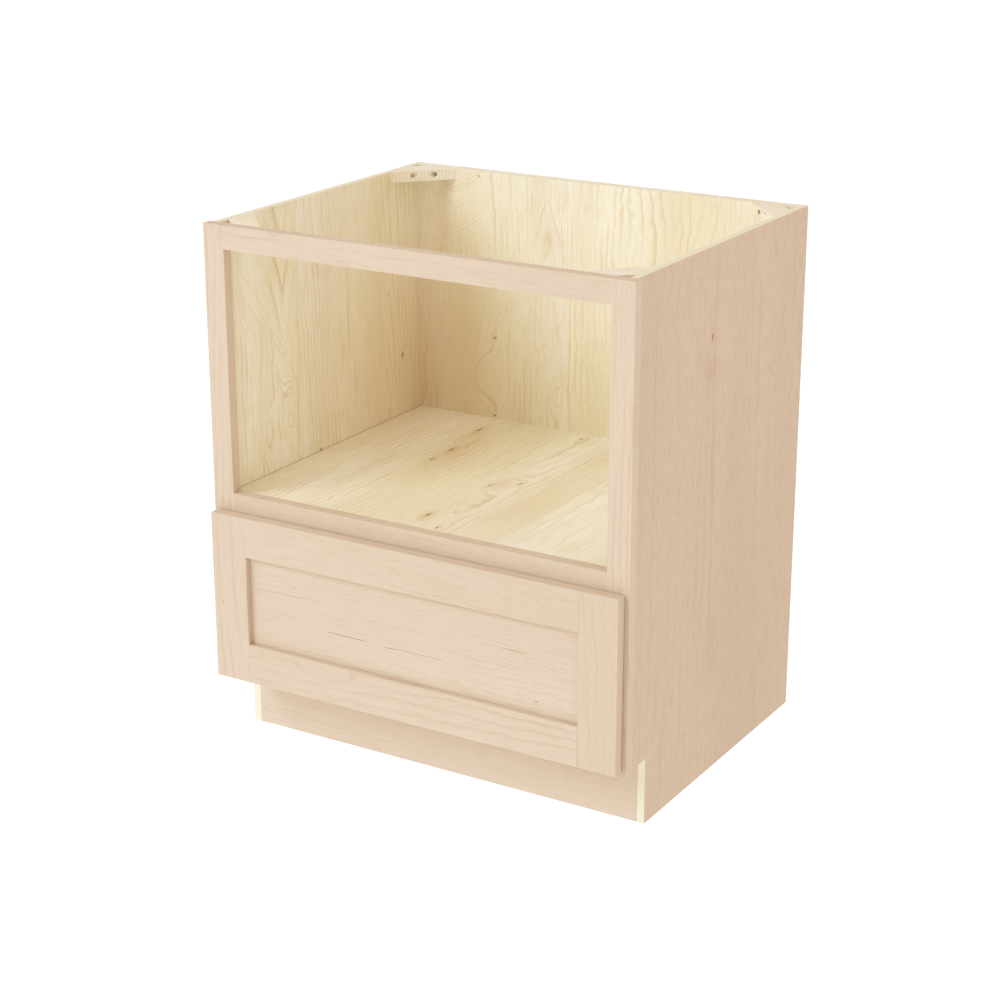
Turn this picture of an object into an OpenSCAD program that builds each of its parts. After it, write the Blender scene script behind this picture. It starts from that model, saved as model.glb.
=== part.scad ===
// Face-frame base cabinet with an open microwave bay above one wide drawer.
// Millimetres. +Z is up, -Y is the front, +X is the right side seen from the front.
// The origin is on the floor, in the middle of the overall width and depth.

/* [Cabinet] */
// Overall width, across the outer edges of the face frame
cab_w = 762; // [610:1:914]
// Overall height, from the floor to the top edges
cab_h = 876.3; // [830:0.1:940]
// Depth from the front of the face frame to the back of the sides
cab_d = 609.6; // [590:0.1:680]

/* [Panels] */
// Thickness of the two side panels
side_t = 12.7; // [12:0.1:19.05]
// Thickness of the floor panel under the drawer
deck_t = 12.7; // [9:0.1:19.05]
// Thickness of the microwave shelf
shelf_t = 19.05; // [12:0.05:25.4]
// Thickness of the back panel
back_t = 6.35; // [4:0.05:9]
// Depth of the grooves in the sides that hold the shelf, the deck and the back panel
dado_depth = 4; // [2:0.1:6]

/* [Toe kick] */
// Height of the toe-kick notch, and of the lower edge of the face frame
toe_h = 111.1; // [90:0.1:125]
// Depth of the toe-kick notch behind the front of the face frame
toe_d = 76.2; // [60:0.1:100]
// Thickness of the toe board
toe_board_t = 12.7; // [9:0.1:19.05]

/* [Hang rails] */
// Thickness of the rails behind the back panel
hang_rail_t = 15.85; // [12:0.05:19.05]
// Height of the rails behind the back panel
hang_rail_h = 88.9; // [70:0.1:120]

/* [Face frame] */
// Thickness of the face frame
frame_t = 19.05; // [16:0.05:22]
// Width of the two upright stiles
stile_w = 38.1; // [34:0.1:42]
// Height of the top rail
top_rail_h = 38.1; // [30:0.1:60]
// Height of the middle rail
mid_rail_h = 38.1; // [30:0.1:60]
// Height of the bottom rail
bottom_rail_h = 38.1; // [30:0.1:50]
// How far the stiles stand out past the side panels
frame_overhang = 6.35; // [2:0.05:8]
// Height of the sill, the top edge of the middle rail
sill_z = 436.6; // [425:0.1:480]
// How far the shelf lies below the sill
shelf_drop = 4.8; // [1:0.1:8]
// How far the deck lies below the top edge of the bottom rail
deck_drop = 6.35; // [1:0.05:8]
// Radius of the dowels that join the rails to the stiles
dowel_r = 4; // [3:0.1:5]
// Length of the dowels
dowel_len = 44; // [30:1:46]
// Distance between the two dowels of a joint
dowel_pitch = 19; // [14:0.5:19]

/* [Corner blocks] */
// Thickness of the corner blocks
block_t = 19.05; // [16:0.05:25]
// Length of a block's edge along the front or the back
block_leg_x = 78; // [74:0.5:95]
// Length of a block's edge along the side panel
block_leg_y = 87; // [75:0.5:100]
// Length cut off the block's square corner
block_clip = 22; // [10:0.5:25]
// Height of the pocket holes below the top of the block
pocket_drop = 8.3; // [7:0.1:10]
// Radius of the pocket holes
pocket_r = 4.7; // [4.4:0.1:6]
// Wood left between a pocket's floor and the panel it is screwed to
pocket_wall = 12; // [8:0.5:15]
// Place of the pockets along the diagonal edge, from its middle, as a part of its length
pocket_offset = 0.145; // [0.13:0.005:0.16]

/* [Drawer front] */
// Thickness of the drawer front's stiles and rails
front_t = 19.05; // [16:0.05:22]
// Width of the drawer front's stiles and rails
front_frame_w = 66.7; // [60:0.1:75]
// Depth of the recess in front of the panel
front_recess = 9.5; // [6:0.1:10]
// Thickness of the drawer front's panel
front_panel_t = 6.35; // [4:0.05:6.35]
// Depth of the groove that holds the panel
front_groove = 9.5; // [6:0.1:12]
// Room left for the panel to swell in its grooves
panel_play = 1; // [0.5:0.1:2]
// Face frame left bare on each side of the drawer front
reveal_side = 7.1; // [3:0.1:12]
// Face frame left bare under the drawer front
reveal_bottom = 8.8; // [3:0.1:12]
// How far the drawer front covers the middle rail
front_overlap = 7.6; // [4:0.1:15]
// Thickness of the bumpers behind the drawer front
bumper_t = 1.5; // [1:0.1:3]
// Radius of the bumpers
bumper_r = 4; // [3:0.1:6]
// Distance of the bumpers from the top and bottom edges of the drawer front
bumper_inset = 22; // [15:0.5:40]
// Distance of the screws that hold the drawer front from its middle
front_screw_x = 200; // [100:1:250]

/* [Drawer box] */
// Thickness of the drawer box's sides, front and back
box_t = 12.7; // [11:0.1:16]
// Gap between the bottom rail and the drawer box
box_lift = 12.7; // [8:0.1:16]
// Gap between the drawer box and the middle rail
box_headroom = 33.4; // [15:0.1:60]
// Thickness of the drawer bottom
bottom_t = 6.35; // [4:0.05:9]
// Depth of the groove that holds the drawer bottom
bottom_groove = 6; // [3:0.1:7]
// Height of the drawer bottom above the lower edge of the box
bottom_lift = 11.1; // [8:0.1:20]
// Wood left in front of the dovetails
dovetail_lap = 4; // [3:0.1:6]
// Height that each dovetail and its pin take up
dovetail_pitch = 25.4; // [20:0.1:35]
// Slope of the dovetails' sides, in degrees
dovetail_angle = 8; // [5:0.5:12]

/* [Runners] */
// Distance from the front of the face frame to the runners
runner_setback = 3.2; // [1:0.1:6]
// Room between the runners and the back panel
runner_back_room = 50.8; // [10:0.1:80]
// Height of the outer member of each runner
runner_h = 45.7; // [44:0.1:50]
// Room that a runner takes up on each side of the drawer box
runner_w = 12.7; // [12.5:0.1:14]
// Thickness of the steel of the members
steel_t = 1.2; // [1:0.05:1.3]
// Radius of the balls
ball_r = 1.9; // [1.7:0.05:2]
// Running gap between the balls and the steel
ball_gap = 0.25; // [0.2:0.01:0.3]
// Running gap between a cage and the member next to it
cage_gap = 0.3; // [0.25:0.01:0.35]
// Thickness of the steel of the cages
cage_t = 0.4; // [0.3:0.05:0.5]
// Steel left beside the balls at the edges of the cages
cage_lip = 0.7; // [0.5:0.05:1]
// Length of the cages
cage_len = 250; // [150:1:255]
// Distance from the front of the runner to its cages when the drawer is shut
cage_start = 145; // [140:1:148]
// Balls in each row
ball_count = 9; // [4:1:14]
// Angle at which the curled edges round the balls end, from the middle of the ball
curl_end = 30; // [20:1:40]
// Height of the wooden cleats that carry the runners
cleat_h = 76.2; // [74:0.1:90]
// How far the cleats reach past the back ends of the runners
cleat_past = 6.45; // [2:0.05:30]

/* [Screws] */
// Radius of the shanks
screw_r = 2; // [1.6:0.1:2.2]
// Radius of the heads
head_r = 3.9; // [3.5:0.1:4.2]
// Height of the round heads
head_h = 2.4; // [2:0.1:3]
// Height of the flush heads in the runners
flush_head_h = 0.7; // [0.5:0.05:0.9]
// Width of the square recess in a head
drive_w = 2.6; // [2:0.1:3]
// Room around a screw or a dowel in its hole
screw_gap = 0.1; // [0.05:0.01:0.15]
// How far the screws reach into the last piece they hold
screw_bite = 9.5; // [6:0.1:10]
// Distance of the first and last screw of a row from the end of its piece
screw_end = 45; // [30:1:70]

/* [Hidden] */
$fn = 48;
// Cuts reach past the faces that they open by this much.
past = 1;

// Colours
maple = [0.86, 0.76, 0.65];
ply = [0.90, 0.84, 0.68];
block_wood = [0.89, 0.82, 0.68];
steel = [0.72, 0.73, 0.75];
screw_steel = [0.55, 0.54, 0.50];
clear_plastic = [0.85, 0.87, 0.88];

// Planes across the depth
overall_d = cab_d + front_t + bumper_t;
y_front = -overall_d / 2;
y_front_back = y_front + front_t;
y_frame = y_front_back + bumper_t;
y_sides = y_frame + frame_t;
y_toe = y_frame + toe_d;
y_back = overall_d / 2;
y_hang = y_back - hang_rail_t;
y_panel = y_hang - back_t;

// Planes across the width, on the right of the middle
x_frame = cab_w / 2;
x_side = x_frame - frame_overhang;
x_inner = x_side - side_t;
x_open = x_frame - stile_w;
x_box = x_open - runner_w;

// Heights
z_bottom_rail = toe_h + bottom_rail_h;
z_deck = z_bottom_rail - deck_drop;
z_mid_rail = sill_z - mid_rail_h;
z_top_rail = cab_h - top_rail_h;
z_shelf = sill_z - shelf_drop;

// Drawer front
front_x = x_frame - reveal_side;
front_z0 = toe_h + reveal_bottom;
front_z1 = z_mid_rail + front_overlap;
y_groove = y_front + front_recess;

// Drawer box, as deep as the runners are long
y_runner = y_frame + runner_setback;
runner_len = y_panel - runner_back_room - y_runner;
cleat_len = y_runner + runner_len + cleat_past - y_sides;
box_z0 = z_bottom_rail + box_lift;
box_z1 = z_mid_rail - box_headroom;
box_h = box_z1 - box_z0;
y_box_back = y_front_back + runner_len;

// Runners: u runs from the cleat towards the drawer box, v up from the middle of the runner.
runner_z = (box_z0 + box_z1) / 2;
race_r = ball_r + ball_gap;
u_cage_outer = steel_t + cage_gap;
u_middle = u_cage_outer + cage_t + cage_gap;
u_cage_inner = u_middle + steel_t + cage_gap;
u_drawer = runner_w - steel_t;
u_ball_outer = u_middle + steel_t + race_r;
u_ball_inner = u_cage_inner + cage_t + steel_t + race_r;
v_outer = runner_h / 2;
v_ball_outer = v_outer - steel_t - race_r;
v_middle = v_ball_outer - race_r;
v_ball_inner = v_middle - steel_t - race_r;
v_drawer = v_ball_inner - race_r;

// ---------------------------------------------------------------- general shapes

// A block between two opposite corners
module block(lo, hi) {
    translate(lo)
        cube(hi - lo);
}

// A flat outline in X and Z, drawn out along Y from y0 to y1
module along_y(y0, y1) {
    translate([0, y1, 0])
        rotate([90, 0, 0])
            linear_extrude(y1 - y0)
                children();
}

// A flat outline in Y and Z, drawn out along X from x0 to x1
module along_x(x0, x1) {
    translate([x0, 0, 0])
        rotate([90, 0, 90])
            linear_extrude(x1 - x0)
                children();
}

// What is made for the right side, mirrored to the left side
module on_left() {
    mirror([1, 0, 0])
        children();
}

// What is made for the right side, on both sides
module on_both() {
    children();
    on_left()
        children();
}

// The same solid at several places along Y
module repeat_y(places) {
    for (y = places)
        translate([0, y, 0])
            children();
}

// Points spread evenly from a to b
function spread(a, b, count) = [for (i = [0 : count - 1]) a + (b - a) * i / (count - 1)];

// Round-headed screw. The head's underside is at the origin and the shank runs along +Z.
module round_screw(shank_len, grow = 0) {
    cylinder(r = screw_r + grow, h = shank_len + grow);
    if (grow == 0) {
        difference() {
            translate([0, 0, -head_h])
                cylinder(r = head_r, h = head_h);
            drive_recess(head_h);
        }
    }
}

// Flat-headed screw. The top of the head is at the origin and the shank runs along +Z.
module flat_screw(shank_len, head = head_h, grow = 0) {
    difference() {
        union() {
            cylinder(r = screw_r + grow, h = shank_len + grow);
            cylinder(r1 = head_r + grow, r2 = screw_r + grow, h = head);
        }
        if (grow == 0)
            translate([0, 0, head])
                drive_recess(head);
    }
}

// Square recess in the top half of a head that ends at z = 0
module drive_recess(head) {
    translate([-drive_w / 2, -drive_w / 2, -head - past])
        cube([drive_w, drive_w, past + head / 2]);
}

// Turns a screw along +Z to point along +X, -X, +Y or -Y
module point_right() {
    rotate([0, 90, 0])
        children();
}

module point_left() {
    rotate([0, -90, 0])
        children();
}

module point_back() {
    rotate([-90, 0, 0])
        children();
}

module point_front() {
    rotate([90, 0, 0])
        children();
}

// ---------------------------------------------------------------- screws and dowels

// The dowels between the rails and the stiles
module dowels(grow = 0) {
    rail_middles = [
        toe_h + bottom_rail_h / 2,
        z_mid_rail + mid_rail_h / 2,
        z_top_rail + top_rail_h / 2,
    ];
    on_both()
        for (z = rail_middles, side = [-1, 1])
            translate([x_open - dowel_len / 2 - grow, y_frame + frame_t / 2, z + side * dowel_pitch / 2])
                point_right()
                    cylinder(r = dowel_r + grow, h = dowel_len + 2 * grow);
}

// Places a corner block's shape in the back right corner and in the front right corner.
module at_back_corner() {
    translate([x_inner, y_panel, cab_h - block_t])
        children();
}

module at_front_corner() {
    translate([x_inner, y_sides, cab_h - block_t])
        mirror([0, 1, 0])
            children();
}

// The two pockets of a corner block: the first is bored towards the side panel,
// the second towards the back or the front.
pocket_z = block_t - pocket_drop;
pocket_to_side = [-(0.5 - pocket_offset) * block_leg_x, -(0.5 + pocket_offset) * block_leg_y];
pocket_to_end = [-(0.5 + pocket_offset) * block_leg_x, -(0.5 - pocket_offset) * block_leg_y];

module block_pockets() {
    reach_x = pocket_r * block_leg_x / block_leg_y + past;
    reach_y = pocket_r * block_leg_y / block_leg_x + past;
    translate([pocket_to_side.x - reach_x, pocket_to_side.y, pocket_z])
        point_right()
            cylinder(r = pocket_r, h = reach_x - pocket_to_side.x - pocket_wall);
    translate([pocket_to_end.x, pocket_to_end.y - reach_y, pocket_z])
        point_back()
            cylinder(r = pocket_r, h = reach_y - pocket_to_end.y - pocket_wall);
}

module block_screws(grow = 0) {
    translate([-pocket_wall, pocket_to_side.y, pocket_z])
        point_right()
            round_screw(pocket_wall + screw_bite, grow);
    translate([pocket_to_end.x, -pocket_wall, pocket_z])
        point_back()
            round_screw(pocket_wall + screw_bite, grow);
}

// The screws of all four corner blocks
module all_block_screws(grow = 0) {
    on_both() {
        at_back_corner()
            block_screws(grow);
        at_front_corner()
            block_screws(grow);
    }
}

// The screws that hold the runner cleats to the side panels
module cleat_screws(grow = 0) {
    screw_z = (cleat_h / 2 + v_outer) / 2;
    on_both()
        repeat_y(spread(y_sides + screw_end, y_sides + cleat_len - screw_end, 3))
            for (side = [-1, 1])
                translate([x_open, 0, runner_z + side * screw_z])
                    point_right()
                        flat_screw(x_inner - x_open + screw_bite, head_h, grow);
}

// Places of the screws along a runner
runner_screw_y = spread(y_runner + screw_end, y_runner + runner_len - screw_end, 3);

// The screws that hold the outer members to the cleats
module outer_screws(grow = 0) {
    on_both()
        repeat_y(runner_screw_y)
            translate([x_open - steel_t, 0, runner_z])
                point_right()
                    flat_screw(steel_t + screw_bite, flush_head_h, grow);
}

// The screws that hold the drawer members to the drawer box
module drawer_member_screws(grow = 0) {
    on_both()
        repeat_y(runner_screw_y)
            translate([x_box + steel_t, 0, runner_z])
                point_left()
                    flat_screw(steel_t + screw_bite, flush_head_h, grow);
}

// The screws that hold the drawer front to the drawer box
module front_screws(grow = 0) {
    upper_z = (front_z1 - front_frame_w + front_groove + box_z1) / 2;
    lower_z = box_z0 + bottom_lift / 2;
    on_both()
        for (z = [lower_z, upper_z])
            translate([front_screw_x, y_front_back + box_t, z])
                point_front()
                    round_screw(box_t + screw_bite, grow);
}

// ---------------------------------------------------------------- case

// Space that the deck, the shelf and the back panel take up, with their edges in the grooves
module deck_space() {
    block([-x_inner - dado_depth, y_sides, z_deck - deck_t], [x_inner + dado_depth, y_panel, z_deck]);
}

module shelf_space() {
    block([-x_inner - dado_depth, y_sides, z_shelf - shelf_t], [x_inner + dado_depth, y_panel, z_shelf]);
}

module back_space() {
    block([-x_inner - dado_depth, y_panel, toe_h], [x_inner + dado_depth, y_hang, cab_h]);
}

module side_right() {
    color(maple)
        difference() {
            along_x(x_inner, x_side)
                polygon([
                    [y_sides, toe_h], [y_toe, toe_h], [y_toe, 0],
                    [y_back, 0], [y_back, cab_h], [y_sides, cab_h],
                ]);
            deck_space();
            shelf_space();
            back_space();
            all_block_screws(screw_gap);
            cleat_screws(screw_gap);
        }
}

module side_left() {
    on_left()
        side_right();
}

module back_panel() {
    color(ply)
        difference() {
            back_space();
            all_block_screws(screw_gap);
        }
}

module hang_rail_top() {
    color(ply)
        difference() {
            block([-x_inner, y_hang, cab_h - hang_rail_h], [x_inner, y_back, cab_h]);
            all_block_screws(screw_gap);
        }
}

module hang_rail_bottom() {
    color(ply)
        block([-x_inner, y_hang, toe_h], [x_inner, y_back, toe_h + hang_rail_h]);
}

module deck() {
    color(ply)
        deck_space();
}

module microwave_shelf() {
    color(ply)
        shelf_space();
}

module toe_board() {
    color(maple)
        block([-x_inner, y_toe, 0], [x_inner, y_toe + toe_board_t, z_deck - deck_t]);
}

// ---------------------------------------------------------------- face frame

module frame_stile_right() {
    color(maple)
        difference() {
            block([x_open, y_frame, toe_h], [x_frame, y_sides, cab_h]);
            dowels(screw_gap);
        }
}

module frame_stile_left() {
    on_left()
        frame_stile_right();
}

// A rail of the face frame between two heights
module frame_rail(z0, z1) {
    color(maple)
        difference() {
            block([-x_open, y_frame, z0], [x_open, y_sides, z1]);
            dowels(screw_gap);
            all_block_screws(screw_gap);
        }
}

module frame_rail_top() {
    frame_rail(z_top_rail, cab_h);
}

module frame_rail_middle() {
    frame_rail(z_mid_rail, sill_z);
}

module frame_rail_bottom() {
    frame_rail(toe_h, z_bottom_rail);
}

module frame_dowels() {
    color(block_wood)
        dowels();
}

// ---------------------------------------------------------------- corner blocks

// The block of the back right corner, with that corner at the origin
module corner_block() {
    color(block_wood)
        difference() {
            linear_extrude(block_t)
                polygon([
                    [-block_clip, 0], [-block_leg_x, 0],
                    [0, -block_leg_y], [0, -block_clip],
                ]);
            block_pockets();
            block_screws(screw_gap);
        }
}

module corner_block_back_right() {
    at_back_corner()
        corner_block();
}

module corner_block_back_left() {
    on_left()
        corner_block_back_right();
}

module corner_block_front_right() {
    at_front_corner()
        corner_block();
}

module corner_block_front_left() {
    on_left()
        corner_block_front_right();
}

module corner_block_screws() {
    color(screw_steel)
        all_block_screws();
}

// ---------------------------------------------------------------- runners

module runner_cleat_right() {
    color(block_wood)
        difference() {
            block(
                [x_open, y_sides, runner_z - cleat_h / 2],
                [x_inner, y_sides + cleat_len, runner_z + cleat_h / 2]
            );
            cleat_screws(screw_gap);
            outer_screws(screw_gap);
        }
}

module runner_cleat_left() {
    on_left()
        runner_cleat_right();
}

module runner_cleat_screws() {
    color(screw_steel)
        cleat_screws();
}

// Draws an outline in u and v along the right-hand runner.
module along_runner(start, length) {
    along_y(y_runner + start, y_runner + start + length)
        translate([x_open, runner_z])
            mirror([1, 0])
                children();
}

// The same outline above and below the middle of the runner
module above_and_below() {
    children();
    mirror([0, 1])
        children();
}

// A strip of steel between two corners
module strip(lo, hi) {
    translate(lo)
        square(hi - lo);
}

// A curled edge that holds the balls at a point. It faces the balls from the right and above,
// or from the left and below if turned by 180 degrees.
module curl(at, turn = 0) {
    far = race_r + steel_t + past;
    translate(at)
        rotate(turn)
            intersection() {
                difference() {
                    circle(r = race_r + steel_t);
                    circle(r = race_r);
                }
                polygon([[0, 0], [far * cos(curl_end), far * sin(curl_end)], [far, far], [0, far]]);
            }
}

module outer_outline() {
    strip([0, -v_outer], [steel_t, v_outer]);
    above_and_below() {
        strip([0, v_outer - steel_t], [u_ball_outer, v_outer]);
        curl([u_ball_outer, v_ball_outer]);
    }
}

module middle_outline() {
    strip([u_middle, -v_middle], [u_middle + steel_t, v_middle]);
    above_and_below() {
        strip([u_middle, v_middle - steel_t], [u_ball_inner, v_middle]);
        curl([u_ball_outer, v_ball_outer], 180);
        curl([u_ball_inner, v_ball_inner]);
    }
}

module drawer_outline() {
    strip([u_drawer, -v_drawer], [runner_w, v_drawer]);
    above_and_below() {
        strip([u_ball_inner, v_drawer - steel_t], [runner_w, v_drawer]);
        curl([u_ball_inner, v_ball_inner], 180);
    }
}

// A cage round two rows of balls: a web with a flange along each row
module cage_outline(u_web, u_ball, v_ball) {
    strip([u_web, -v_ball], [u_web + cage_t, v_ball]);
    above_and_below()
        strip([u_web, v_ball - cage_t / 2], [u_ball + ball_r + cage_lip, v_ball + cage_t / 2]);
}

// Puts a child at each ball of a cage.
module at_balls(u_ball, v_ball) {
    first = y_runner + cage_start + 2 * ball_r;
    last = y_runner + cage_start + cage_len - 2 * ball_r;
    repeat_y(spread(first, last, ball_count))
        for (side = [-1, 1])
            translate([x_open - u_ball, 0, runner_z + side * v_ball])
                children();
}

module cage(u_web, u_ball, v_ball) {
    color(steel)
        difference() {
            along_runner(cage_start, cage_len)
                cage_outline(u_web, u_ball, v_ball);
            at_balls(u_ball, v_ball)
                cylinder(r = ball_r + screw_gap, h = cage_t + 2 * past, center = true);
        }
}

module balls(u_ball, v_ball) {
    color(steel)
        at_balls(u_ball, v_ball)
            sphere(r = ball_r);
}

module runner_outer_right() {
    color(steel)
        difference() {
            along_runner(0, runner_len)
                outer_outline();
            outer_screws(screw_gap);
        }
}

module runner_outer_left() {
    on_left()
        runner_outer_right();
}

module runner_outer_screws() {
    color(screw_steel)
        outer_screws();
}

module runner_middle_right() {
    color(steel)
        along_runner(0, runner_len)
            middle_outline();
}

module runner_middle_left() {
    on_left()
        runner_middle_right();
}

module runner_drawer_right() {
    color(steel)
        difference() {
            along_runner(0, runner_len)
                drawer_outline();
            drawer_member_screws(screw_gap);
        }
}

module runner_drawer_left() {
    on_left()
        runner_drawer_right();
}

module runner_drawer_screws() {
    color(screw_steel)
        drawer_member_screws();
}

module cage_outer_right() {
    cage(u_cage_outer, u_ball_outer, v_ball_outer);
}

module cage_outer_left() {
    on_left()
        cage_outer_right();
}

module cage_inner_right() {
    cage(u_cage_inner, u_ball_inner, v_ball_inner);
}

module cage_inner_left() {
    on_left()
        cage_inner_right();
}

module balls_outer_right() {
    balls(u_ball_outer, v_ball_outer);
}

module balls_outer_left() {
    on_left()
        balls_outer_right();
}

module balls_inner_right() {
    balls(u_ball_inner, v_ball_inner);
}

module balls_inner_left() {
    on_left()
        balls_inner_right();
}

// ---------------------------------------------------------------- drawer box

// Space that the drawer bottom takes up, with its edges in the grooves
module bottom_space() {
    x_edge = x_box - box_t + bottom_groove;
    y_edge = box_t - bottom_groove;
    block(
        [-x_edge, y_front_back + y_edge, box_z0 + bottom_lift],
        [x_edge, y_box_back - y_edge, box_z0 + bottom_lift + bottom_t]
    );
}

// The dovetails on both ends of the right-hand drawer side
module dovetails() {
    count = floor(box_h / dovetail_pitch);
    step = box_h / count;
    root = step / 4;
    tip = root + (box_t - dovetail_lap) * tan(dovetail_angle);
    for (end = [[y_front_back, 1], [y_box_back, -1]])
        for (i = [0 : count - 1])
            along_x(x_box - box_t, x_box)
                translate([end[0], box_z0 + (i + 0.5) * step])
                    scale([end[1], 1])
                        polygon([
                            [dovetail_lap, -tip], [dovetail_lap, tip], [box_t, root],
                            [box_t + past, root], [box_t + past, -root], [box_t, -root],
                        ]);
}

module drawer_side_right() {
    color(block_wood)
        difference() {
            union() {
                block(
                    [x_box - box_t, y_front_back + box_t, box_z0],
                    [x_box, y_box_back - box_t, box_z1]
                );
                dovetails();
            }
            bottom_space();
            drawer_member_screws(screw_gap);
        }
}

module drawer_side_left() {
    on_left()
        drawer_side_right();
}

// The front or the back of the drawer box, between two planes
module box_end(y0, y1) {
    color(block_wood)
        difference() {
            block([-x_box, y0, box_z0], [x_box, y1, box_z1]);
            on_both()
                dovetails();
            bottom_space();
            front_screws(screw_gap);
        }
}

module drawer_box_front() {
    box_end(y_front_back, y_front_back + box_t);
}

module drawer_box_back() {
    box_end(y_box_back - box_t, y_box_back);
}

module drawer_bottom() {
    color(ply)
        bottom_space();
}

// ---------------------------------------------------------------- drawer front

// Space inside the drawer front's frame, grown by a depth into the grooves
module front_panel_space(depth) {
    block(
        [-front_x + front_frame_w - depth, y_groove, front_z0 + front_frame_w - depth],
        [front_x - front_frame_w + depth, y_groove + front_panel_t, front_z1 - front_frame_w + depth]
    );
}

// A rail's tongues, which fill the ends of the stiles' grooves
module front_tongues(z0, z1) {
    block(
        [-front_x + front_frame_w - front_groove, y_groove, z0],
        [front_x - front_frame_w + front_groove, y_groove + front_panel_t, z1]
    );
}

module drawer_front_stile_right() {
    color(maple)
        difference() {
            block([front_x - front_frame_w, y_front, front_z0], [front_x, y_front_back, front_z1]);
            front_tongues(front_z0 - past, front_z1 + past);
        }
}

module drawer_front_stile_left() {
    on_left()
        drawer_front_stile_right();
}

module front_rail(z0, z1) {
    color(maple)
        difference() {
            union() {
                block(
                    [-front_x + front_frame_w, y_front, z0],
                    [front_x - front_frame_w, y_front_back, z1]
                );
                front_tongues(z0, z1);
            }
            front_panel_space(front_groove);
            front_screws(screw_gap);
        }
}

module drawer_front_rail_top() {
    front_rail(front_z1 - front_frame_w, front_z1);
}

module drawer_front_rail_bottom() {
    front_rail(front_z0, front_z0 + front_frame_w);
}

module drawer_front_panel() {
    color(maple)
        front_panel_space(front_groove - panel_play);
}

module drawer_front_screws() {
    color(screw_steel)
        front_screws();
}

module drawer_front_bumpers() {
    color(clear_plastic)
        on_both()
            for (z = [front_z0 + bumper_inset, front_z1 - bumper_inset])
                translate([(x_open + front_x) / 2, y_front_back, z])
                    point_back()
                        cylinder(r = bumper_r, h = bumper_t);
}

// ---------------------------------------------------------------- the nodes

side_left();
side_right();
back_panel();
hang_rail_top();
hang_rail_bottom();
deck();
microwave_shelf();
toe_board();
frame_stile_left();
frame_stile_right();
frame_rail_top();
frame_rail_middle();
frame_rail_bottom();
frame_dowels();
corner_block_front_left();
corner_block_front_right();
corner_block_back_left();
corner_block_back_right();
corner_block_screws();
runner_cleat_left();
runner_cleat_right();
runner_cleat_screws();
runner_outer_left();
runner_outer_right();
runner_outer_screws();
runner_middle_left();
runner_middle_right();
cage_outer_left();
cage_outer_right();
cage_inner_left();
cage_inner_right();
balls_outer_left();
balls_outer_right();
balls_inner_left();
balls_inner_right();
runner_drawer_left();
runner_drawer_right();
runner_drawer_screws();
drawer_side_left();
drawer_side_right();
drawer_box_front();
drawer_box_back();
drawer_bottom();
drawer_front_stile_left();
drawer_front_stile_right();
drawer_front_rail_top();
drawer_front_rail_bottom();
drawer_front_panel();
drawer_front_screws();
drawer_front_bumpers();
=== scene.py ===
"""Looks for a face-frame base cabinet with an open microwave bay above one wide drawer.

Everything is in metres, in the frame of the CAD: +Z up, -Y out of the front.
Every piece is a CAD node, so this script gives them their eased edges and their materials.
"""

import math

import bmesh
import bpy
from mathutils import Euler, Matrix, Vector


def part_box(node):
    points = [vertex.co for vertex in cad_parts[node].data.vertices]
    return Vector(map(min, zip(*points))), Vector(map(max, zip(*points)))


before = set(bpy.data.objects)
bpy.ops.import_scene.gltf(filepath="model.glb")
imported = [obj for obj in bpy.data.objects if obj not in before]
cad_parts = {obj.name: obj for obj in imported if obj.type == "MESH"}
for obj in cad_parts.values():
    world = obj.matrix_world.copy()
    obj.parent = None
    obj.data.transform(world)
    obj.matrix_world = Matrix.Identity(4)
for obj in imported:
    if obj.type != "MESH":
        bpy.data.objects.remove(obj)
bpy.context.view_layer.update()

# ---------------------------------------------------------------- numbers that several parts share

MM = 0.001
X, Y, Z = range(3)
WHITE = (1.0, 1.0, 1.0, 1.0)

# Depth of the fine relief on wood, and on steel and plastic
WOOD_RELIEF = 0.1 * MM
SMOOTH_RELIEF = 0.02 * MM


def srgb(red, green, blue):
    """A colour from its sRGB values of 0 to 255."""
    def linear(value):
        value /= 255
        return value / 12.92 if value <= 0.04045 else ((value + 0.055) / 1.055) ** 2.4
    return (linear(red), linear(green), linear(blue), 1.0)


# ---------------------------------------------------------------- shader nodes

class Term:
    """The output of a shader node, which can be added, multiplied and so on."""

    def __init__(self, shade, socket):
        self.shade = shade
        self.socket = socket

    def __add__(self, other):
        return self.shade.math("ADD", self, other)

    def __sub__(self, other):
        return self.shade.math("SUBTRACT", self, other)

    def __rsub__(self, other):
        return self.shade.math("SUBTRACT", other, self)

    def __mul__(self, other):
        return self.shade.math("MULTIPLY", self, other)

    def __truediv__(self, other):
        return self.shade.math("DIVIDE", self, other)

    __radd__ = __add__


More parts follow.
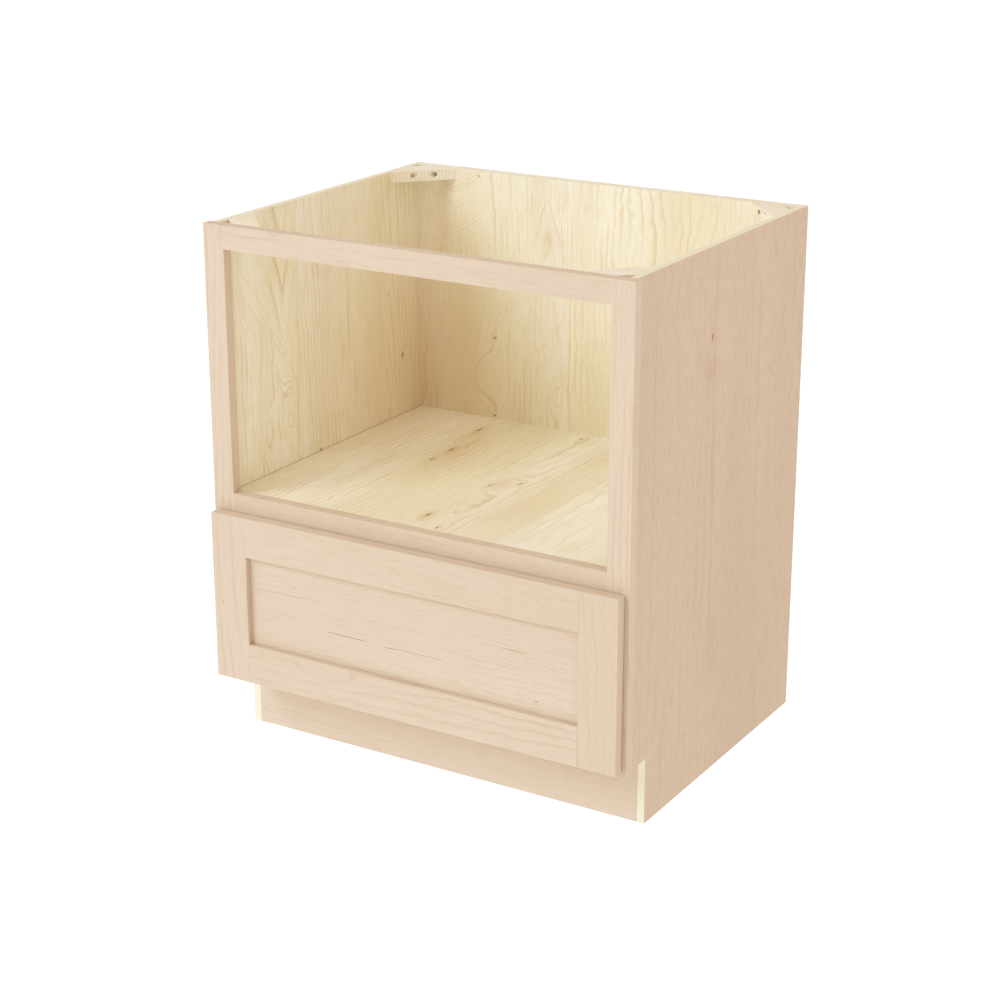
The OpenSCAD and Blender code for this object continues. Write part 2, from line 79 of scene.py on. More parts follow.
class Shade:
    """Builds the nodes of one material."""

    def __init__(self, name):
        self.material = bpy.data.materials.new(name)
        self.material.use_nodes = True
        self.tree = self.material.node_tree
        self.tree.nodes.clear()

    def node(self, kind, inputs=(), **settings):
        made = self.tree.nodes.new(kind)
        for key, value in settings.items():
            setattr(made, key, value)
        for key, value in dict(inputs).items():
            if isinstance(value, Term):
                self.tree.links.new(value.socket, made.inputs[key])
            else:
                made.inputs[key].default_value = value
        return made

    def math(self, operation, *values):
        made = self.node("ShaderNodeMath", dict(enumerate(values)), operation=operation)
        return Term(self, made.outputs[0])

    def place(self):
        """The point's X, Y and Z in the frame of the CAD."""
        point = Term(self, self.node("ShaderNodeTexCoord").outputs["Object"])
        parts = self.node("ShaderNodeSeparateXYZ", {0: point})
        return [Term(self, socket) for socket in parts.outputs]

    def noise(self, x, y, z, detail=0.0, roughness=0.5):
        vector = Term(self, self.node("ShaderNodeCombineXYZ", {0: x, 1: y, 2: z}).outputs[0])
        inputs = {"Vector": vector, "Scale": 1.0, "Detail": detail, "Roughness": roughness}
        return Term(self, self.node("ShaderNodeTexNoise", inputs).outputs[0])

    def ramp(self, value, start, end, low=0.0, high=1.0):
        """Goes smoothly from low to high as the value goes from start to end."""
        inputs = {0: value, 1: start, 2: end, 3: low, 4: high}
        made = self.node("ShaderNodeMapRange", inputs, interpolation_type="SMOOTHSTEP")
        return Term(self, made.outputs[0])

    def mix(self, amount, first, second):
        inputs = {0: amount, 6: first, 7: second}
        made = self.node("ShaderNodeMix", inputs, data_type="RGBA")
        return Term(self, made.outputs[2])

    def scale(self, colour, amount):
        made = self.node("ShaderNodeVectorMath", {0: colour, "Scale": amount}, operation="SCALE")
        return Term(self, made.outputs[0])

    def bell(self, u, v, middle_u, middle_v, half_u, half_v):
        """1 in the middle, falling off over the two half sizes."""
        du = (u - middle_u) / half_u
        dv = (v - middle_v) / half_v
        return self.math("EXPONENT", (du * du + dv * dv) * -1.0)

    def finish(self, colour, roughness, height=None, depth=WOOD_RELIEF, **sockets):
        inputs = {"Base Color": colour, "Roughness": roughness}
        if height is not None:
            bump = self.node("ShaderNodeBump", {"Strength": 1.0, "Distance": depth, "Height": height})
            inputs["Normal"] = Term(self, bump.outputs[0])
        shader = self.node("ShaderNodeBsdfPrincipled", inputs)
        for key, value in sockets.items():
            shader.inputs[key.replace("_", " ")].default_value = value
        self.node("ShaderNodeOutputMaterial", {0: Term(self, shader.outputs[0])})
        return self.material


# ---------------------------------------------------------------- the look of each wood

# across and along are how fast the figure swings, per metre, and rings how many growth lines it
# swings over. pitch is the mean distance between growth lines and comb_pitch that between combed
# lines, in metres, and wobble is in growth lines. The rest go from 0 to 1: strength, comb and fleck
# are how much of the line's colour the growth lines, combed lines and flecks get, mottle is how much
# of the dark colour the cloudy patches get, fibre is how much the fibres change the brightness, and
# roughness and gloss are those of the surface.
MAPLE = {
    "light": srgb(225, 206, 184), "dark": srgb(221, 202, 179), "line": srgb(196, 166, 135),
    "strength": 0.28, "rings": 8.0, "pitch": 0.013, "across": 7.0, "along": 0.9, "wobble": 0.7,
    "comb": 0.08, "comb_pitch": 2.6 * MM, "mottle": 0.35, "fleck": 0.25, "fibre": 0.1,
    "roughness": 0.62, "gloss": 0.3,
}
SIDE = dict(
    MAPLE, light=srgb(222, 199, 175), dark=srgb(216, 194, 167), line=srgb(190, 153, 122),
    strength=0.18, rings=7.0, pitch=0.03, across=5.0, along=0.5, mottle=0.5, fleck=0.36, fibre=0.32,
)
TOE = dict(MAPLE, light=srgb(226, 208, 186), dark=srgb(223, 204, 181))
PANEL = dict(
    MAPLE, light=srgb(228, 212, 190), dark=srgb(224, 205, 183), pitch=0.009, wobble=1.5,
)
BIRCH = {
    "light": srgb(255, 253, 242), "dark": srgb(246, 240, 213), "line": srgb(220, 189, 132),
    "strength": 0.55, "rings": 14.0, "pitch": 0.013, "across": 4.5, "along": 0.8, "wobble": 1.3,
    "comb": 0.28, "comb_pitch": 6.0 * MM, "mottle": 0.5, "fleck": 0.25, "fibre": 0.09,
    "roughness": 0.42, "gloss": 0.5,
}
BACK = dict(BIRCH, strength=0.5)
SHELF = dict(BIRCH, comb_pitch=4.6 * MM)
BLOCK = dict(BIRCH, strength=0.3, rings=10.0, pitch=0.01, across=10.0, along=1.5)

KNOT = srgb(134, 82, 36)
KNOT_RIM = srgb(208, 162, 96)
STREAK = srgb(168, 128, 92)

PLY_ALONG = srgb(245, 242, 221)
PLY_CROSSED = srgb(243, 236, 209)
PLY_GLUE = srgb(222, 198, 152)
PLY_ROUGHNESS = 0.5
PLY_GLOSS = 0.4
VENEER_T = 0.55 * MM

ZINC = srgb(214, 216, 218)
SCREW = srgb(196, 188, 160)
BALL = srgb(226, 228, 230)
STEEL_COAT = srgb(205, 200, 178)
BUMPER_LIGHT = srgb(236, 240, 240)
BUMPER_DARK = srgb(226, 232, 232)

# How fast each noise changes across the grain and along it, per metre
WAVE = (20.0, 12.0)
RIPPLE = (75.0, 50.0)
ZONE = (8.0, 1.2)
TONE = (5.0, 0.8)
MOTTLE = (30.0, 14.0)
FLECK = (600.0, 26.0)
FIBRE = (1100.0, 60.0)
RAGGED = (700.0, 260.0)

# How fast the strength of growth lines changes, from one line to the next and per metre along them
VARY_ACROSS = 3.7
VARY_ALONG = 5.0

# How fast a streak wanders, per metre along it, and how far, in half widths
WANDER_SPEED = 9.0
WANDER = 6.0

# How far a noise is moved for the next veneer sheet, and for the far side of a plywood panel
SHEET_SEED = 3.7
FAR_SIDE_SEED = 11.3

# The ends of peaks and streaks fade over this much on either side of their place
SOFT_END = 10.0 * MM

# The dark line at a joint is this wide, and has faded out at the second width
JOINT_DARK = 0.8 * MM
JOINT_FADED = 1.8 * MM

# How far growth lines stand out of the surface, where fibres stand out by 1
LINE_HEIGHT = 0.1


# ---------------------------------------------------------------- the figure of wood

class Face:
    """A wooden face: u runs across the grain, v along it and w into the wood.

    The marks on it are tuples, with their places and half sizes in metres:
    bumps, combs, knots, tans  (u, v, half u, half v, how much); tans are darker wood, and some of them
    are painted shade
    vees                       (middle u, low v, high v, half u, rise, gap, strength)
    streaks                    (from v, to v, u, half width, how much)
    seams                      (u, how much lighter the sheet beyond is)
    joints                     (u, 1 or -1 for the side of it that is bare, how much)
    """

    def __init__(self, shade, u, v, w, look, seed, seams):
        self.shade = shade
        self.u = u
        self.v = v
        self.w = w
        self.look = look
        self.seed = seed
        self.lighter = 0.0
        for place, change in seams:
            beyond = shade.math("GREATER_THAN", u, place)
            self.seed = beyond * SHEET_SEED + self.seed
            self.lighter = beyond * change + self.lighter
        self.wave = self.noise(WAVE, self.seed, 1.0)
        self.ripple = self.noise(RIPPLE, self.seed)

    def noise(self, speed, third, detail=0.0, roughness=0.5):
        across, along = speed
        return self.shade.noise(self.u * across, self.v * along, third, detail, roughness)

    def solid_noise(self, speed, seed, detail, roughness=0.5):
        """Noise that goes on into the wood."""
        return self.noise(speed, self.w * speed[0] + seed, detail, roughness)

    def bell(self, middle_u, middle_v, half_u, half_v):
        return self.shade.bell(self.u, self.v, middle_u, middle_v, half_u, half_v)

    def between(self, low, high):
        """1 between two places along the grain, with soft ends."""
        start = self.shade.ramp(self.v, low - SOFT_END, low + SOFT_END)
        return start * self.shade.ramp(self.v, high + SOFT_END, high - SOFT_END)

    def field(self, bumps):
        """A value that grows by 1 from one growth line to the next."""
        look = self.look
        swing = self.solid_noise((look["across"], look["along"]), self.seed, 1.0, 0.4)
        field = swing * look["rings"] + self.u / look["pitch"]
        field = field + self.wave * look["wobble"] + self.ripple * (0.4 * look["wobble"])
        for middle_u, middle_v, half_u, half_v, height in bumps:
            field = field + self.bell(middle_u, middle_v, half_u, half_v) * height
        return field

    def growth(self, field, along):
        """Growth lines at the whole numbers of a field, each a little different in strength."""
        s = self.shade
        ring = s.math("FRACT", field)
        line = s.ramp(ring, 0.1, 0.8) * 0.3 + s.ramp(ring, 0.55, 0.85) * 0.7
        number = s.math("FLOOR", field)
        vary = s.noise(number * VARY_ACROSS, along * VARY_ALONG, self.seed, 1.0)
        return line * s.ramp(ring, 1.0, 0.87) * s.ramp(vary, 0.35, 0.65, 0.1, 1.0)

    def peaks(self, line, vees):
        """Nested peaks, which take the place of the growth lines around them."""
        s = self.shade
        for middle_u, low_v, high_v, half_u, rise, gap, strength in vees:
            away = s.math("ABSOLUTE", self.u - middle_u)
            nested = (self.v - away * rise + self.wave * 0.03 + self.ripple * 0.008) / gap
            inside = s.ramp(away, half_u, 0.6 * half_u) * self.between(low_v, high_v)
            line = line * (inside * -0.9 + 1.0) + self.growth(nested, self.u) * inside * strength
        return line

    def comb(self, field, zone, combs):
        """Fine lines close together, in zones of their own and around chosen places."""
        depth = zone * self.look["comb"]
        for middle_u, middle_v, half_u, half_v, extra in combs:
            depth = self.bell(middle_u, middle_v, half_u, half_v) * extra + depth
        turns = self.u * (2.0 * math.pi / self.look["comb_pitch"])
        fine = self.shade.math("SINE", field * 4.0 + turns) * 0.5 + 0.5
        return fine * depth

    def bare(self, line, comb, fibre):
        """The colour of the wood and its figure, before its marks."""
        s = self.shade
        look = self.look
        tone = self.noise(TONE, self.seed + 5.0, 2.0)
        mottle = self.solid_noise(MOTTLE, self.seed, 2.0, 0.6)
        fleck = self.solid_noise(FLECK, self.seed, 1.0)
        colour = s.mix(s.ramp(tone, 0.35, 0.65), look["light"], look["dark"])
        colour = s.mix(s.ramp(mottle, 0.45, 0.7) * look["mottle"], colour, look["dark"])
        colour = s.mix(line * look["strength"] + comb, colour, look["line"])
        colour = s.mix(s.ramp(fleck, 0.5, 0.75) * look["fleck"], colour, look["line"])
        return s.scale(colour, (fibre - 0.5) * look["fibre"] + 1.0 + self.lighter)

    def streaked(self, colour, streaks):
        """Thin dark streaks that wander a little along the grain."""
        s = self.shade
        for from_v, to_v, at_u, half, depth in streaks:
            wander = (s.noise(self.v * WANDER_SPEED, at_u, 0.0, 1.0) - 0.5) * WANDER * half
            off = s.math("ABSOLUTE", self.u - at_u + wander)
            core = s.ramp(off, half, 0.2 * half)
            colour = s.mix(core * self.between(from_v, to_v) * depth, colour, STREAK)
        return colour

    def tan_and_paint_shade(self, colour, tans_and_painted_shade):
        """Soft patches of darker wood, and patches of painted shade, both in the wood's line colour.
        """
        s = self.shade
        bent = self.u + (self.wave - 0.5) * 0.015
        for middle_u, middle_v, half_u, half_v, depth in tans_and_painted_shade:
            patch = s.bell(bent, self.v, middle_u, middle_v, half_u, half_v)
            colour = s.mix(patch * depth, colour, self.look["line"])
        return colour

    def knotted(self, colour, knots):
        """Knots with a ragged edge and a lighter rim."""
        s = self.shade
        for middle_u, middle_v, half_u, half_v, depth in knots:
            ragged = self.u + (self.noise(RAGGED, self.seed) - 0.5) * (1.6 * half_u)
            rim = s.bell(ragged, self.v, middle_u, middle_v, 2.4 * half_u, 2.2 * half_v)
            core = s.bell(ragged, self.v, middle_u, middle_v, half_u, half_v)
            colour = s.mix(rim * depth * 0.5, colour, KNOT_RIM)
            colour = s.mix(s.ramp(core, 0.35, 0.6) * depth, colour, KNOT)
        return colour

    def jointed(self, colour, joints):
        """Thin dark lines where another piece stands on this one."""
        s = self.shade
        for place, side, depth in joints:
            gap = s.ramp((self.u - place) * side, JOINT_FADED, JOINT_DARK)
            colour = s.mix(gap * depth, colour, KNOT)
        return colour


def figure(shade, u, v, w, look, seed, bumps=(), vees=(), combs=(), knots=(), streaks=(), seams=(),
           joints=(), tans_and_painted_shade=()):
    """Colour and height of a wooden face with its marks."""
    face = Face(shade, u, v, w, look, seed, seams)
    around_knots = [(ku, kv, 3 * ru, 3.5 * rv, 1.6) for ku, kv, ru, rv, _ in knots]
    field = face.field([*bumps, *around_knots])
    zone = shade.ramp(face.noise(ZONE, face.seed, 1.0), 0.4, 0.6)
    line = face.peaks(face.growth(field, v) * (zone * -0.7 + 1.0), vees)
    fibre = face.solid_noise(FIBRE, 0.0, 1.0)
    colour = face.bare(line, face.comb(field, zone, combs), fibre)
    colour = face.streaked(colour, streaks)
    colour = face.tan_and_paint_shade(colour, tans_and_painted_shade)
    colour = face.knotted(colour, knots)
    colour = face.jointed(colour, joints)
    return colour, line * LINE_HEIGHT + fibre


# ---------------------------------------------------------------- materials

# How fast the speckle of plywood edges, the drawn lines and clouds of steel and the grain of plastic
# change, per metre, and through a panel's thickness for the second number of the speckle
PLY_SPECKLE = (260.0, 60.0)
DRAWN = (1500.0, 20.0)
CLOUD = (60.0, 25.0)
PLASTIC_GRAIN = 900.0


def board(name, along, across, look, seed, **marks):
    """Solid wood with its grain along one axis."""
    s = Shade(name + "_wood")
    place = s.place()
    third = X + Y + Z - along - across
    colour, height = figure(s, place[across], place[along], place[third], look, seed, **marks)
    return s.finish(colour, look["roughness"], height, Specular_IOR_Level=look["gloss"])


def plywood(name, along, across, low_look, high_look, seed, plies=7, low=(), high=()):
    """Thin layers between two veneers. The low veneer has the smaller coordinate."""
    s = Shade(name + "_plywood")
    place = s.place()
    third = X + Y + Z - along - across
    bottom, top = (corner[third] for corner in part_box(name))
    u, v, depth = place[across], place[along], (place[third] - bottom) / (top - bottom)
    low_colour, low_height = figure(s, u, v, 0.0, low_look, seed, **dict(low))
    high_colour, high_height = figure(s, u, v, 0.0, high_look, seed + FAR_SIDE_SEED, **dict(high))
    layer = depth * float(plies)
    crossed = s.math("MODULO", s.math("FLOOR", layer), 2.0)
    glue = s.ramp(s.math("ABSOLUTE", s.math("FRACT", layer + 0.5) - 0.5), 0.09, 0.03)
    fine, through = PLY_SPECKLE
    speckle = s.noise(u * fine, v * fine, depth * through, 1.0)
    inner = s.mix(crossed, PLY_ALONG, PLY_CROSSED)
    inner = s.mix(glue * 0.15, inner, PLY_GLUE)
    inner = s.scale(inner, (speckle - 0.5) * 0.1 + 1.0)
    skin = VENEER_T / (top - bottom)
    in_low = s.math("LESS_THAN", depth, skin)
    in_high = s.math("GREATER_THAN", depth, 1.0 - skin)
    colour = s.mix(in_high, s.mix(in_low, inner, low_colour), high_colour)
    height = in_high * high_height + in_low * low_height + speckle * (1.0 - in_high - in_low)
    return s.finish(colour, PLY_ROUGHNESS, height, Specular_IOR_Level=PLY_GLOSS)


def steel(name, colour, roughness):
    """Steel drawn along Y, with a thin yellowish coat."""
    s = Shade(name)
    x, y, z = s.place()
    drawn = s.noise(x * DRAWN[0], y * DRAWN[1], z * DRAWN[0], 2.0)
    cloud = s.noise(x * CLOUD[0], y * CLOUD[1], z * CLOUD[0], 2.0)
    tinted = s.scale(s.mix(cloud, colour, STEEL_COAT), (drawn - 0.5) * 0.2 + 1.0)
    return s.finish(tinted, cloud * 0.2 + roughness, drawn, SMOOTH_RELIEF, Metallic=0.95)


def plastic(name, light, dark):
    """Pale plastic with a very fine grain."""
    s = Shade(name)
    grain = s.noise(*[axis * PLASTIC_GRAIN for axis in s.place()], 1.0)
    tinted = s.scale(s.mix(grain, light, dark), 0.98)
    return s.finish(tinted, grain * 0.15 + 0.3, grain, SMOOTH_RELIEF)


# ---------------------------------------------------------------- dressing a node

# Radii of the eased edges. Edges that turn by more than EASE_ANGLE get one.
PANEL_EASE = 0.2 * MM
CASE_EASE = 0.3 * MM
FRAME_EASE = 0.4 * MM
FRONT_EASE = 0.8 * MM
EASE_ANGLE = math.radians(40)
EASE_SEGMENTS = 2
WELD_GAP = 0.01 * MM


def dress(node, material, ease=0.0):
    """Gives a CAD node its material, and edges eased to a radius."""
    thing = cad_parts[node]
    thing.data.materials.clear()
    thing.data.materials.append(material)
    if ease:
        weld = thing.modifiers.new("weld", "WELD")
        weld.merge_threshold = WELD_GAP
        bevel = thing.modifiers.new("eased_edges", "BEVEL")
        bevel.width = ease
        bevel.segments = EASE_SEGMENTS
        bevel.limit_method = "ANGLE"
        bevel.angle_limit = EASE_ANGLE
        bevel.use_clamp_overlap = True


def dress_boards(nodes, along, across, look, first_seed, seed_step, ease):
    """Dresses like pieces in solid wood, each with a figure of its own."""
    for number, node in enumerate(nodes):
        seed = first_seed + seed_step * number
        dress(node, board(node, along, across, look, seed), ease)


# ---------------------------------------------------------------- side panels

# Birch on the inside of the left panel: an open peak near the front, loops and an eye below it, and
# painted shade towards the back corner
left_bumps = [
    (-0.112, 0.508, 0.013, 0.021, 3.2), (0.070, 0.640, 0.020, 0.160, -2.0),
    (-0.126, 0.600, 0.017, 0.020, 2.4), (-0.103, 0.560, 0.015, 0.018, -2.4),
    (-0.170, 0.500, 0.016, 0.045, 2.6),
]
left_vees = [
    (-0.150, 0.68, 0.90, 0.115, 1.4, 0.018, 0.35), (-0.120, 0.66, 0.90, 0.042, 3.2, 0.085, 1.1),
    (-0.122, 0.60, 0.66, 0.034, 1.2, 0.019, 0.45), (-0.120, 0.44, 0.48, 0.036, 1.8, 0.020, 0.35),
]
left_combs = [(-0.02, 0.62, 0.06, 0.30, 0.25), (0.20, 0.70, 0.05, 0.25, 0.15)]
# The first two tans are painted shade, deepening towards the back corner of the bay; the others are
# small darker patches in the wood
left_tans_and_painted_shade = [
    (0.26, 0.50, 0.22, 0.26, 0.45), (0.30, 0.45, 0.07, 0.25, 0.3), (0.20, 0.855, 0.006, 0.020, 0.5),
    (0.068, 0.64, 0.004, 0.09, 0.35), (0.086, 0.53, 0.004, 0.04, 0.4),
]
left_knots = [
    (0.233, 0.542, 0.0016, 0.0050, 0.9), (0.184, 0.527, 0.0012, 0.0020, 0.5),
    (0.191, 0.663, 0.0013, 0.0020, 0.45), (-0.024, 0.434, 0.0022, 0.0016, 0.9),
    (0.068, 0.426, 0.0012, 0.0014, 0.6),
]
dress("side_left", plywood(
    "side_left", Z, Y, SIDE, BIRCH, 4.1,
    high={
        "bumps": left_bumps, "vees": left_vees, "combs": left_combs, "knots": left_knots,
        "seams": [(-0.075, -0.01)], "tans_and_painted_shade": left_tans_and_painted_shade,
    },
), CASE_EASE)

# Veneer on the outside of the right panel: a dark knot, a faint one, long thin streaks, and painted
# shade towards its back and bottom
right_bumps = [(0.000, 0.215, 0.030, 0.050, 3.0), (0.035, 0.74, 0.022, 0.20, -2.5)]
right_knots = [(-0.0274, 0.735, 0.0020, 0.0062, 1.0), (-0.198, 0.524, 0.0016, 0.0060, 0.3)]
right_streaks = [
    (0.45, 0.87, -0.018, 0.0011, 0.5), (0.25, 0.60, -0.010, 0.0012, 0.5),
    (0.55, 0.84, 0.116, 0.0010, 0.35), (0.30, 0.62, 0.150, 0.0010, 0.3),
    (0.20, 0.84, -0.214, 0.0010, 0.3), (0.05, 0.40, -0.240, 0.0010, 0.4),
]
right_tans_and_painted_shade = [
    (-0.030, 0.685, 0.022, 0.024, 0.26), (0.0, 0.22, 0.02, 0.06, 0.2),
    # Painted shade: a broad darkening towards the back and the bottom of the panel; the two tans above
    # are darker wood
    (0.35, 0.15, 0.35, 0.45, 0.15),
]
dress("side_right", plywood(
    "side_right", Z, Y, BIRCH, SIDE, 8.6,
    high={
        "bumps": right_bumps, "knots": right_knots, "streaks": right_streaks, "tans_and_painted_shade": right_tans_and_painted_shade,
    },
), CASE_EASE)

# ---------------------------------------------------------------- back

# Birch on the front of the back panel: bulging lines, nested peaks, three small knots, and painted
# shade in its left corner and under the corner block
back_bumps = [
    (-0.079, 0.490, 0.013, 0.026, 3.5), (-0.096, 0.562, 0.014, 0.030, -3.0),
    (-0.250, 0.500, 0.030, 0.060, 3.0), (-0.222, 0.515, 0.020, 0.034, 2.2),
    (-0.318, 0.515, 0.016, 0.034, 3.0), (-0.300, 0.590, 0.014, 0.030, -2.6),
    (0.215, 0.860, 0.040, 0.070, -2.4),
]
back_vees = [
    (-0.195, 0.60, 0.74, 0.055, 2.0, 0.018, 0.7), (-0.326, 0.55, 0.68, 0.022, 3.0, 0.025, 0.6),
    (-0.290, 0.74, 0.90, 0.080, 0.6, 0.009, 0.6), (-0.098, 0.72, 0.84, 0.032, -3.0, 0.030, 0.7),
]
back_knots = [
    (-0.2047, 0.581, 0.0020, 0.0022, 0.9), (-0.2047, 0.437, 0.0024, 0.0014, 0.9),
    (-0.237, 0.868, 0.0014, 0.0016, 0.6),
]
# The first two tans are painted shade in the back-left corner of the bay and the third is a painted
# shadow of the back-left corner block; the last is a darker patch in the wood
back_tans_and_painted_shade = [
    (-0.34, 0.50, 0.15, 0.26, 0.45), (-0.37, 0.45, 0.05, 0.25, 0.3),
    (-0.31, 0.83, 0.015, 0.12, 0.35), (-0.095, 0.77, 0.012, 0.020, 0.4),
]
dress("back_panel", plywood(
    "back_panel", Z, X, BACK, BLOCK, 2.3, plies=3,
    low={
        "bumps": back_bumps, "vees": back_vees, "knots": back_knots, "seams": [(-0.057, 0.02)],
        "tans_and_painted_shade": back_tans_and_painted_shade,
    },
))
dress("hang_rail_top", board("hang_rail_top", X, Z, BLOCK, 1.7), CASE_EASE)
dress("hang_rail_bottom", board("hang_rail_bottom", X, Z, BLOCK, 5.2), CASE_EASE)

# ---------------------------------------------------------------- shelf, deck and toe board

# Birch on top of the shelf: knots in loose rows along X, the larger ones in darker wood, and painted
# shade at its back-left corner
shelf_knots = [
    (-0.1915, 0.217, 0.0020, 0.0095, 0.85), (-0.173, 0.097, 0.0019, 0.0100, 0.95),
    (-0.010, 0.263, 0.0016, 0.0060, 0.7), (-0.017, -0.034, 0.0018, 0.0080, 0.6),
    (0.022, 0.000, 0.0022, 0.0060, 0.5), (-0.173, 0.036, 0.0040, 0.0100, 0.35),
    (-0.025, -0.208, 0.0022, 0.0085, 0.7), (0.019, -0.250, 0.0014, 0.0050, 0.9),
    (0.005, -0.174, 0.0011, 0.0020, 0.7), (0.016, 0.127, 0.0010, 0.0020, 0.5),
]
shelf_bumps = [
    (-0.190, 0.190, 0.018, 0.070, 5.0), (-0.025, -0.215, 0.016, 0.040, 3.5),
    (0.000, -0.010, 0.020, 0.060, 3.0), (0.250, -0.100, 0.030, 0.040, 3.5),
]
shelf_combs = [
    (0.060, -0.100, 0.060, 0.150, 0.5), (-0.155, 0.060, 0.035, 0.120, 0.5),
    (0.060, 0.180, 0.040, 0.080, 0.4),
]
shelf_tans_and_painted_shade = [
    (-0.190, 0.190, 0.016, 0.050, 0.35), (-0.170, 0.090, 0.010, 0.040, 0.35),
    (0.000, -0.015, 0.012, 0.035, 0.35), (-0.022, -0.210, 0.010, 0.025, 0.4),
    # Painted shade in the back-left corner of the shelf; the tans above it are darker wood around the
    # knots
    (-0.33, 0.15, 0.08, 0.16, 0.25),
]
dress("microwave_shelf", plywood(
    "microwave_shelf", Y, X, BLOCK, SHELF, 6.4, plies=9,
    high={
        "bumps": shelf_bumps, "combs": shelf_combs, "knots": shelf_knots,
        "seams": [(0.1335, 0.005)], "tans_and_painted_shade": shelf_tans_and_painted_shade,
        "joints": [(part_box("side_left")[1][X], 1.0, 0.8), (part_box("side_right")[0][X], -1.0, 0.8)],
    },
))
dress("deck", plywood("deck", Y, X, BLOCK, BIRCH, 7.9))
dress("toe_board", plywood("toe_board", X, Z, TOE, BLOCK, 9.4), CASE_EASE)

# ---------------------------------------------------------------- face frame and corner blocks

dress_boards(("frame_stile_left", "frame_stile_right"), Z, X, MAPLE, 12.5, 1.9, FRAME_EASE)
dress_boards(
    ("frame_rail_top", "frame_rail_middle", "frame_rail_bottom"), X, Z, MAPLE, 17.1, 2.3, FRAME_EASE,
)
dress("frame_dowels", board("frame_dowels", X, Z, BLOCK, 0.4))
corner_blocks = (
    "corner_block_front_left", "corner_block_front_right",
    "corner_block_back_left", "corner_block_back_right",
)
dress_boards(corner_blocks, X, Y, BLOCK, 21.0, 1.3, FRAME_EASE)

# ---------------------------------------------------------------- drawer front

# A faint knot on the left stile, and on the panel thin dark streaks, a small knot and the lines
# where the rails stand on it
stile_knots = [(-0.357, 0.2534, 0.0014, 0.0030, 0.3)]
dress("drawer_front_stile_left", board(
    "drawer_front_stile_left", Z, X, MAPLE, 31.0, knots=stile_knots,
), FRONT_EASE)
dress("drawer_front_stile_right", board("drawer_front_stile_right", Z, X, MAPLE, 32.1), FRONT_EASE)
dress("drawer_front_rail_top", board(
    "drawer_front_rail_top", X, Z, MAPLE, 35.2, bumps=[(0.363, 0.20, 0.014, 0.060, 3.0)],
), FRONT_EASE)
dress("drawer_front_rail_bottom", board(
    "drawer_front_rail_bottom", X, Z, MAPLE, 38.6, bumps=[(0.168, -0.152, 0.013, 0.060, 2.2)],
), FRONT_EASE)

panel_streaks = [
    (-0.155, -0.083, 0.2392, 0.0009, 0.9), (-0.047, -0.022, 0.2368, 0.0009, 0.9),
    (-0.022, 0.060, 0.2372, 0.0007, 0.6), (0.172, 0.214, 0.2830, 0.0008, 0.7),
    (0.166, 0.197, 0.2972, 0.0006, 0.4), (-0.290, -0.205, 0.2865, 0.0009, 0.4),
]
panel_knots = [(0.2068, 0.231, 0.0009, 0.0030, 0.5)]
panel_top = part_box("drawer_front_rail_top")[0][Z]
panel_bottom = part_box("drawer_front_rail_bottom")[1][Z]
dress("drawer_front_panel", board(
    "drawer_front_panel", X, Z, PANEL, 41.9, streaks=panel_streaks, knots=panel_knots,
    joints=[(panel_top, -1.0, 0.5), (panel_bottom, 1.0, 0.2)],
), PANEL_EASE)
dress("drawer_front_bumpers", plastic("clear_bumper", BUMPER_LIGHT, BUMPER_DARK), CASE_EASE)

# ---------------------------------------------------------------- drawer box and runners

dress_boards(("drawer_side_left", "drawer_side_right"), Y, Z, BLOCK, 45.0, 1.9, CASE_EASE)
dress_boards(("drawer_box_front", "drawer_box_back"), X, Z, BLOCK, 49.0, 1.9, CASE_EASE)
dress("drawer_bottom", plywood("drawer_bottom", X, Y, BLOCK, BIRCH, 53.0, plies=3))
dress_boards(("runner_cleat_left", "runner_cleat_right"), Y, Z, BLOCK, 27.0, 1.7, FRAME_EASE)

zinc = steel("zinc_plated_steel", ZINC, 0.28)
screw_steel = steel("screw_steel", SCREW, 0.32)
ball_steel = steel("ball_steel", BALL, 0.08)
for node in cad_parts:
    if node.startswith("balls_"):
        dress(node, ball_steel)
    elif node.endswith("_screws"):
        dress(node, screw_steel)
    elif node.startswith(("runner_outer_", "runner_middle_", "runner_drawer_", "cage_")):
        dress(node, zinc)


# ---------------------------------------------------------------- floor, light and camera

FLOOR_HALF = 15.0
FLOOR_DROP = 0.2 * MM
FLOOR_GLOW = 0.97
FLOOR_GREY = (0.12, 0.12, 0.12, 1.0)
SKY_LIGHT = (0.721, 0.627, 0.540, 1.0)

CAMERA_PLACE = (1.780, -2.9855, 1.603)
CAMERA_TURN = 31.05
CAMERA_DIP = 19.1
LENS_MM = 80.1
SENSOR_MM = 36.0


def floor():
    """A wide plain floor just under the feet, with a soft glow of its own that keeps it pale."""
    mesh = bpy.data.meshes.new("floor")
    built = bmesh.new()
    bmesh.ops.create_grid(built, x_segments=8, y_segments=8, size=FLOOR_HALF)
    built.to_mesh(mesh)
    built.free()
    plane = bpy.data.objects.new("floor", mesh)
    plane.location.z = -FLOOR_DROP
    bpy.context.scene.collection.objects.link(plane)
    s = Shade("pale_floor")
    pale = s.finish(FLOOR_GREY, 0.9, Emission_Color=WHITE, Emission_Strength=FLOOR_GLOW)
    plane.data.materials.append(pale)


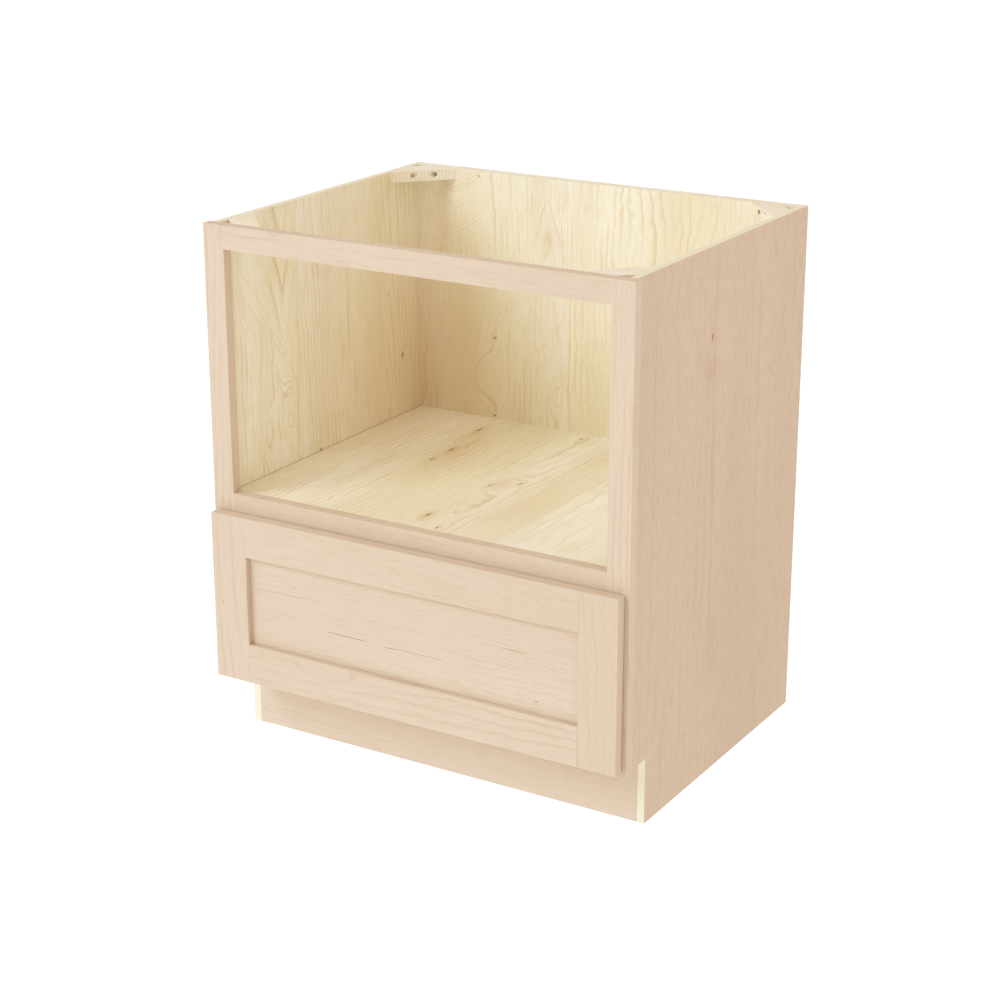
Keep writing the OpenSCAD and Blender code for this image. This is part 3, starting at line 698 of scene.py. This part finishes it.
def sky():
    """Soft warm light from all around, white where the camera looks past the floor."""
    world = bpy.data.worlds.new("studio")
    bpy.context.scene.world = world
    world.use_nodes = True
    tree = world.node_tree
    tree.nodes.clear()
    seen = tree.nodes.new("ShaderNodeBackground")
    seen.inputs["Color"].default_value = WHITE
    lit = tree.nodes.new("ShaderNodeBackground")
    lit.inputs["Color"].default_value = SKY_LIGHT
    path = tree.nodes.new("ShaderNodeLightPath")
    choice = tree.nodes.new("ShaderNodeMixShader")
    out = tree.nodes.new("ShaderNodeOutputWorld")
    tree.links.new(path.outputs["Is Camera Ray"], choice.inputs[0])
    tree.links.new(lit.outputs[0], choice.inputs[1])
    tree.links.new(seen.outputs[0], choice.inputs[2])
    tree.links.new(choice.outputs[0], out.inputs[0])


def area_light(name, place, aim, size, power, colour):
    """A round soft light of a given width, aimed at a point."""
    light = bpy.data.lights.new(name, "AREA")
    light.shape = "DISK"
    light.size = size
    light.energy = power
    light.color = colour
    holder = bpy.data.objects.new(name, light)
    holder.location = place
    holder.rotation_euler = (Vector(aim) - Vector(place)).to_track_quat("-Z", "Y").to_euler()
    bpy.context.scene.collection.objects.link(holder)


def camera():
    """The photograph's view, as close as a lens without shift comes to it."""
    lens = bpy.data.cameras.new("camera")
    lens.sensor_fit = "HORIZONTAL"
    lens.sensor_width = SENSOR_MM
    lens.lens = LENS_MM
    holder = bpy.data.objects.new("camera", lens)
    holder.location = CAMERA_PLACE
    holder.rotation_euler = Euler((math.radians(90 - CAMERA_DIP), 0.0, math.radians(CAMERA_TURN)))
    bpy.context.scene.collection.objects.link(holder)
    bpy.context.scene.camera = holder


floor()
sky()
area_light(
    "key", place=(-4.8, -6.6, 6.15), aim=(0.0, 0.0, 0.4), size=5.0, power=417.0,
    colour=(0.68, 0.834, 1.0),
)
area_light(
    "fill", place=(4.5, -1.0, 5.5), aim=(0.2, 0.0, 0.6), size=3.0, power=11.0,
    colour=(1.0, 0.764, 0.523),
)
area_light(
    "top", place=(1.4, -0.3, 5.0), aim=(0.0, 0.0, 0.9), size=3.0, power=8.2,
    colour=(1.0, 0.968, 0.874),
)
camera()
bpy.context.scene.view_settings.view_transform = "Standard"
